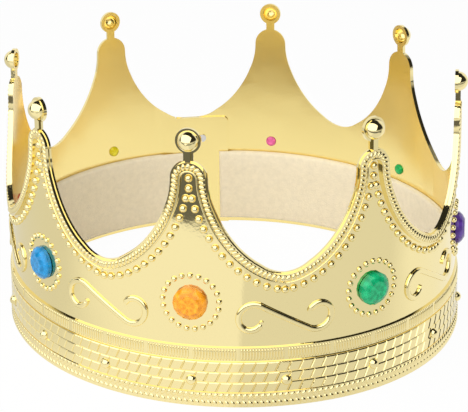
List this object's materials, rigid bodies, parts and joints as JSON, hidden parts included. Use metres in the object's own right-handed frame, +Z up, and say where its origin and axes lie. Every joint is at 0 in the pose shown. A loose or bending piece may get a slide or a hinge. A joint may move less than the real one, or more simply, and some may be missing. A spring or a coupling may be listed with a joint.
{
  "type": "party crown",
  "caption": "Gold metallised plastic party crown with scalloped points, ball finials, round gems and a foam liner inside the band.",
  "frame": {"origin": "middle of the bottom rim, on the surface that the crown stands on", "axes": "+Z up through the open top; the lapped seam faces +Y, the front of the crown faces -Y"},
  "size_m": [0.2004, 0.1955, 0.1149],
  "materials": {
    "gold_shell": "vacuum metallised pale gold, mirror bright",
    "foam": "matt cream foam",
    "rivet_metal": "bright",
    "gem_yellow": "clear faceted acrylic",
    "gem_red": "clear faceted acrylic",
    "gem_blue": "clear faceted acrylic",
    "gem_orange": "clear faceted acrylic",
    "gem_green": "clear faceted acrylic",
    "gem_purple": "clear faceted acrylic",
    "gem_emerald": "clear faceted acrylic",
    "gem_pink": "clear faceted acrylic"
  },
  "bodies": {
    "root": {"crown_shell": "gold_shell", "foam_liner": "foam", "gem_yellow": "gem_yellow", "gem_red": "gem_red", "gem_blue": "gem_blue", "gem_orange": "gem_orange", "gem_green": "gem_green", "gem_purple": "gem_purple", "gem_emerald": "gem_emerald", "gem_pink": "gem_pink", "closure_rivet_upper": "rivet_metal", "closure_rivet_lower": "rivet_metal"}
  },
  "joints": []
}
